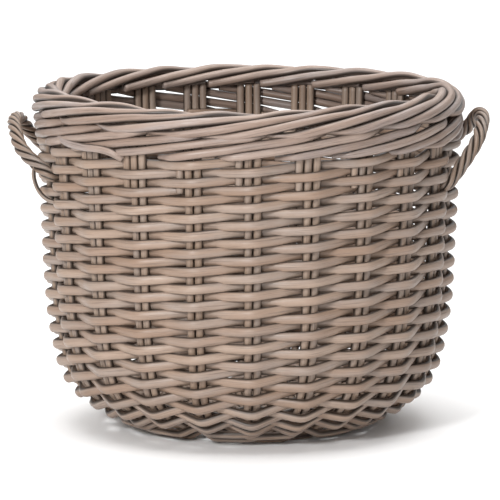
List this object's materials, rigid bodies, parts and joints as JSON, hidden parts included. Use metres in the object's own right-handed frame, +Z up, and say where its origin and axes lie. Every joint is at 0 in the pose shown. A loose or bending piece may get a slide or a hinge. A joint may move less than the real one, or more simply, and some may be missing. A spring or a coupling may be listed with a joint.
{
  "type": "wicker log basket",
  "caption": "Round wicker log basket of woven cane, rounded in to a small foot, with a rolled rim and two twisted rope ears.",
  "frame": {"origin": "on the floor, under the middle of the basket and its two ears", "axes": "+Z up, +X from the left ear to the right ear, -Y the front"},
  "size_m": [0.5562, 0.5, 0.3948],
  "materials": {
    "stake_cane": "washed grey-brown round cane, satin",
    "weaving_cane": "washed grey-brown round cane, satin",
    "rim_cane": "washed grey-brown round cane, satin",
    "ear_cane": "thin twisted cane, satin",
    "base_cane": "round cane, matt"
  },
  "bodies": {
    "root": {"stake_pair_01": "stake_cane", "stake_pair_02": "stake_cane", "stake_pair_03": "stake_cane", "stake_pair_04": "stake_cane", "stake_pair_05": "stake_cane", "stake_pair_06": "stake_cane", "stake_pair_07": "stake_cane", "stake_pair_08": "stake_cane", "stake_pair_09": "stake_cane", "stake_pair_10": "stake_cane", "stake_pair_11": "stake_cane", "stake_pair_12": "stake_cane", "stake_pair_13": "stake_cane", "stake_pair_14": "stake_cane", "stake_pair_15": "stake_cane", "stake_pair_16": "stake_cane", "stake_pair_17": "stake_cane", "stake_pair_18": "stake_cane", "stake_pair_19": "stake_cane", "stake_pair_20": "stake_cane", "stake_pair_21": "stake_cane", "stake_pair_22": "stake_cane", "bye_stakes": "stake_cane", "foot_rod_1": "weaving_cane", "foot_rod_2": "weaving_cane", "foot_rod_3": "weaving_cane", "side_weaver_1": "weaving_cane", "side_weaver_2": "weaving_cane", "side_weaver_3": "weaving_cane", "side_weaver_4": "weaving_cane", "side_weaver_5": "weaving_cane", "side_weaver_6": "weaving_cane", "side_weaver_7": "weaving_cane", "side_weaver_8": "weaving_cane", "base_weaver_1": "base_cane", "base_weaver_2": "base_cane", "base_sticks_lower": "base_cane", "base_sticks_upper": "base_cane", "rim_side_canes": "rim_cane", "rim_crest_canes": "rim_cane", "left_ear_core": "ear_cane", "left_ear_strand_1": "ear_cane", "left_ear_strand_2": "ear_cane", "left_ear_strand_3": "ear_cane", "left_ear_strand_4": "ear_cane", "left_ear_strand_5": "ear_cane", "right_ear_core": "ear_cane", "right_ear_strand_1": "ear_cane", "right_ear_strand_2": "ear_cane", "right_ear_strand_3": "ear_cane", "right_ear_strand_4": "ear_cane", "right_ear_strand_5": "ear_cane"}
  },
  "joints": []
}
